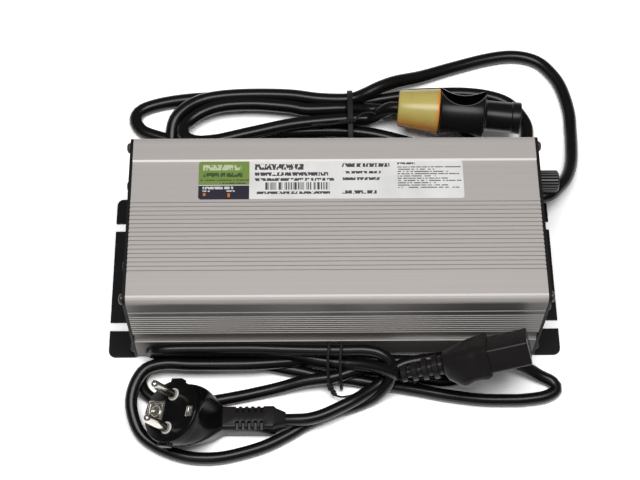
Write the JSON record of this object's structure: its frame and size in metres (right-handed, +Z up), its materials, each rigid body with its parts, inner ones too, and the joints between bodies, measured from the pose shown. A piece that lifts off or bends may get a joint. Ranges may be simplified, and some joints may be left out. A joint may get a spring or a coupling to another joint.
{
  "type": "battery charger",
  "caption": "Mains battery charger in a finned aluminium case, with a fixed output lead to a twist-lock connector and a separate mains lead, both hanked.",
  "frame": {"origin": "on the ground plane under the middle of the case", "axes": "+X along the case towards the socket end, -Y towards the front side where the mains lead lies, +Z up"},
  "size_m": [0.2812, 0.2727, 0.074],
  "materials": {
    "resin": "moulded resin",
    "capacitor": "shrunk sleeve",
    "anodised": "satin anodised",
    "ferrite": "pressed ferrite",
    "copper": "enamelled copper wire",
    "board": "solder mask",
    "black_plastic": "satin moulded",
    "amber": "gloss moulded",
    "glass": "clear",
    "green_lamp": "tinted lens",
    "aluminium": "sawn",
    "nickel": "nickel plated",
    "black_steel": "black oxide",
    "film": "film",
    "paper": "printed film",
    "black_paint": "black powder coat",
    "pvc": "smooth extruded PVC",
    "red_lamp": "tinted lens",
    "yellow_tape": "film tape"
  },
  "bodies": {
    "charger": {"bridge_rectifier": "resin", "bulk_capacitor": "capacitor", "case_shell": "anodised", "choke_core": "ferrite", "choke_winding": "copper", "circuit_board": "board", "connector_body": "black_plastic", "connector_bushing": "amber", "connector_nose": "black_plastic", "fan_frame": "black_plastic", "fuse": "glass", "fuse_cap": "black_plastic", "fuse_holder": "black_plastic", "green_lamp": "green_lamp", "heat_bar": "aluminium", "inlet_earth_pin": "nickel", "inlet_live_pin": "nickel", "inlet_neutral_pin": "nickel", "inlet_screw_1": "black_steel", "inlet_screw_2": "black_steel", "inlet_socket": "black_plastic", "insulation_sheet": "film", "label": "paper", "lead_relief": "black_plastic", "left_end_plate": "black_paint", "left_plate_screw_1": "black_steel", "left_plate_screw_2": "black_steel", "left_plate_screw_3": "black_steel", "left_plate_screw_4": "black_steel", "mains_hank": "pvc", "mains_inner_loop": "pvc", "mains_lead": "pvc", "mains_outer_loop": "pvc", "mains_socket_loop": "pvc", "mains_tie": "black_plastic", "output_capacitor": "capacitor", "output_hank": "pvc", "output_inner_bend": "pvc", "output_lead": "pvc", "output_outer_bend": "pvc", "output_rectifier": "resin", "output_tail": "pvc", "output_tie": "black_plastic", "plug_body": "black_plastic", "plug_earth_clip": "nickel", "plug_earth_socket": "nickel", "plug_pin_1": "nickel", "plug_pin_2": "nickel", "power_transistor_1": "resin", "power_transistor_2": "resin", "red_lamp": "red_lamp", "right_end_plate": "black_paint", "right_plate_screw_1": "black_steel", "right_plate_screw_2": "black_steel", "right_plate_screw_3": "black_steel", "right_plate_screw_4": "black_steel", "socket_connector": "black_plastic", "transformer_core": "ferrite", "transformer_winding": "yellow_tape"},
    "fan_rotor": {"fan_rotor": "black_plastic"}
  },
  "joints": [
    {"name": "fan_spin", "type": "hinge", "parent": "charger", "child": "fan_rotor", "pos_m": [-0.105, 0, 0.0385], "axis": [1, 0, 0], "continuous": true}
  ]
}
